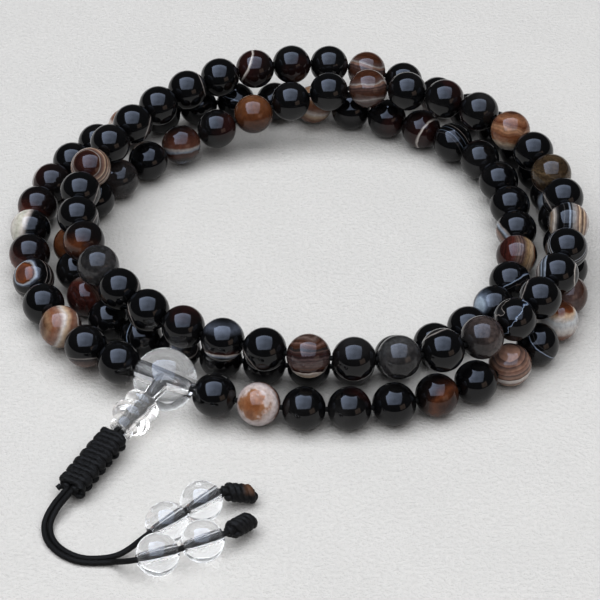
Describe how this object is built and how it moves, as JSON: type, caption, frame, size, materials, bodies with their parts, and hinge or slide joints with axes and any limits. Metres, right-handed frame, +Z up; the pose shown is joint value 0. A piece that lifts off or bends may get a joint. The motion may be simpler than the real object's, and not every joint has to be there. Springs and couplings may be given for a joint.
{
  "type": "mala prayer beads",
  "caption": "String of round banded black agate prayer beads laid down as a double coil, with a clear quartz guru bead and tower, a knotted slider and a two-cord beaded tail",
  "frame": {"origin": "on the table, under the middle of the box around the strand, the guru bead, the tower bead and the slider knot", "axes": "+X right, +Y away from the tail, +Z up, the way the mala lies on a table"},
  "size_m": [0.1126, 0.1492, 0.0166],
  "materials": {
    "agate": "polished banded agate, mostly black, with some brown, cream and grey beads",
    "quartz": "clear polished rock crystal",
    "cord": "waxed black polyester cord",
    "knots": "black braided cord, matt"
  },
  "bodies": {
    "coil": {"beads_002_to_006": "agate", "beads_008_to_012": "agate", "beads_014_to_018": "agate", "beads_020_to_024": "agate", "beads_026_to_030": "agate", "beads_056_to_060": "agate", "beads_062_to_066": "agate", "beads_068_to_072": "agate", "beads_074_to_078": "agate", "beads_080_to_084": "agate", "beads_086_to_090": "agate", "beads_092_to_096": "agate", "beads_098_to_102": "agate", "beads_104_to_108": "agate", "strand_cord_first": "cord", "strand_cord_last": "cord"},
    "upper_turn": {"beads_032_to_036": "agate", "beads_038_to_042": "agate", "beads_044_to_048": "agate", "beads_050_to_054": "agate", "strand_cord_lift": "cord"},
    "guru_and_tail": {"guru_bead": "quartz", "tail_cord_rear": "cord", "tail_cord_front": "cord", "end_knot_rear": "knots", "end_knot_front": "knots"},
    "tower": {"tower_bead": "quartz"},
    "slider": {"slider_knot": "knots"},
    "tail_rear_1": {"tail_bead_rear_1": "quartz"},
    "tail_rear_2": {"tail_bead_rear_2": "quartz"},
    "tail_front_1": {"tail_bead_front_1": "quartz"},
    "tail_front_2": {"tail_bead_front_2": "quartz"},
    "turning_001": {"bead_001": "agate"},
    "turning_007": {"bead_007": "agate"},
    "turning_013": {"bead_013": "agate"},
    "turning_019": {"bead_019": "agate"},
    "turning_025": {"bead_025": "agate"},
    "turning_031": {"bead_031": "agate"},
    "turning_037": {"bead_037": "agate"},
    "turning_043": {"bead_043": "agate"},
    "turning_049": {"bead_049": "agate"},
    "turning_055": {"bead_055": "agate"},
    "turning_061": {"bead_061": "agate"},
    "turning_067": {"bead_067": "agate"},
    "turning_073": {"bead_073": "agate"},
    "turning_079": {"bead_079": "agate"},
    "turning_085": {"bead_085": "agate"},
    "turning_091": {"bead_091": "agate"},
    "turning_097": {"bead_097": "agate"},
    "turning_103": {"bead_103": "agate"}
  },
  "joints": [
    {"name": "upper_turn_lift", "type": "hinge", "parent": "coil", "child": "upper_turn", "pos_m": [0.00039, 0.03036, 0.01246], "axis": [-0.9878, -0.1554, 0.001], "range_deg": [0, 40]},
    {"name": "tail_swing", "type": "hinge", "parent": "coil", "child": "guru_and_tail", "pos_m": [-0.024, -0.037, 0.0058], "axis": [-0.874, 0.4859, 0.0031], "range_deg": [0, 75]},
    {"name": "tower_spin", "type": "hinge", "parent": "guru_and_tail", "child": "tower", "pos_m": [-0.02947, -0.04521, 0.00416], "axis": [-0.5472, -0.8208, -0.1642], "continuous": true},
    {"name": "slider_slide", "type": "slide", "parent": "guru_and_tail", "child": "slider", "axis": [-0.4824, -0.8743, -0.0543], "range_m": [0, 0.003]},
    {"name": "tail_rear_1_spin", "type": "hinge", "parent": "guru_and_tail", "child": "tail_rear_1", "pos_m": [-0.02225, -0.0725, 0.00375], "axis": [0.7399, 0.6727, 0], "continuous": true},
    {"name": "tail_rear_2_spin", "type": "hinge", "parent": "guru_and_tail", "child": "tail_rear_2", "pos_m": [-0.0165, -0.06725, 0.00375], "axis": [0.7372, 0.6757, 0], "continuous": true},
    {"name": "tail_front_1_spin", "type": "hinge", "parent": "guru_and_tail", "child": "tail_front_1", "pos_m": [-0.0235, -0.08025, 0.00375], "axis": [0.9417, 0.3363, 0], "continuous": true},
    {"name": "tail_front_2_spin", "type": "hinge", "parent": "guru_and_tail", "child": "tail_front_2", "pos_m": [-0.016, -0.077, 0.00375], "axis": [0.8944, 0.4472, 0], "continuous": true},
    {"name": "bead_001_spin", "type": "hinge", "parent": "coil", "child": "turning_001", "pos_m": [-0.01495, -0.0409, 0.00537], "axis": [0.9635, -0.2532, -0.0873], "continuous": true},
    {"name": "bead_007_spin", "type": "hinge", "parent": "coil", "child": "turning_007", "pos_m": [0.03256, -0.03558, 0.004], "axis": [0.8476, 0.5306, 0], "continuous": true},
    {"name": "bead_013_spin", "type": "hinge", "parent": "coil", "child": "turning_013", "pos_m": [0.05197, 0.0064, 0.004], "axis": [-0.011, 0.9999, 0], "continuous": true},
    {"name": "bead_019_spin", "type": "hinge", "parent": "coil", "child": "turning_019", "pos_m": [0.03586, 0.05141, 0.00422], "axis": [-0.7133, 0.6988, 0.0535], "continuous": true},
    {"name": "bead_025_spin", "type": "hinge", "parent": "coil", "child": "turning_025", "pos_m": [-0.00892, 0.05618, 0.01198], "axis": [-0.9126, -0.4032, 0.0681], "continuous": true},
    {"name": "bead_031_spin", "type": "hinge", "parent": "upper_turn", "child": "turning_031", "pos_m": [-0.04083, 0.01981, 0.0125], "axis": [-0.2774, -0.9608, 0], "continuous": true},
    {"name": "bead_037_spin", "type": "hinge", "parent": "upper_turn", "child": "turning_037", "pos_m": [-0.02743, -0.02473, 0.01203], "axis": [0.7531, -0.6577, -0.0184], "continuous": true},
    {"name": "bead_043_spin", "type": "hinge", "parent": "upper_turn", "child": "turning_043", "pos_m": [0.01832, -0.03821, 0.01203], "axis": [0.9853, 0.1703, -0.0154], "continuous": true},
    {"name": "bead_049_spin", "type": "hinge", "parent": "upper_turn", "child": "turning_049", "pos_m": [0.05105, -0.00592, 0.012], "axis": [0.2072, 0.9783, 0], "continuous": true},
    {"name": "bead_055_spin", "type": "hinge", "parent": "coil", "child": "turning_055", "pos_m": [0.03696, 0.03953, 0.0125], "axis": [-0.7677, 0.6406, 0.017], "continuous": true},
    {"name": "bead_061_spin", "type": "hinge", "parent": "coil", "child": "turning_061", "pos_m": [-0.00913, 0.04479, 0.00832], "axis": [-0.9294, -0.3048, -0.208], "continuous": true},
    {"name": "bead_067_spin", "type": "hinge", "parent": "coil", "child": "turning_067", "pos_m": [-0.04312, 0.01336, 0.0041], "axis": [-0.1767, -0.984, 0.0243], "continuous": true},
    {"name": "bead_073_spin", "type": "hinge", "parent": "coil", "child": "turning_073", "pos_m": [-0.02188, -0.02621, 0.004], "axis": [0.9262, -0.3771, 0], "continuous": true},
    {"name": "bead_079_spin", "type": "hinge", "parent": "coil", "child": "turning_079", "pos_m": [0.02546, -0.0247, 0.004], "axis": [0.8524, 0.523, 0], "continuous": true},
    {"name": "bead_085_spin", "type": "hinge", "parent": "coil", "child": "turning_085", "pos_m": [0.04225, 0.01805, 0.00457], "axis": [-0.147, 0.9889, 0.0219], "continuous": true},
    {"name": "bead_091_spin", "type": "hinge", "parent": "coil", "child": "turning_091", "pos_m": [0.01116, 0.05249, 0.00404], "axis": [-0.9391, 0.3434, -0.0097], "continuous": true},
    {"name": "bead_097_spin", "type": "hinge", "parent": "coil", "child": "turning_097", "pos_m": [-0.03541, 0.04625, 0.00405], "axis": [-0.785, -0.6194, -0.0133], "continuous": true},
    {"name": "bead_103_spin", "type": "hinge", "parent": "coil", "child": "turning_103", "pos_m": [-0.05195, 0.00232, 0.00445], "axis": [0.1202, -0.9926, 0.0151], "continuous": true}
  ]
}
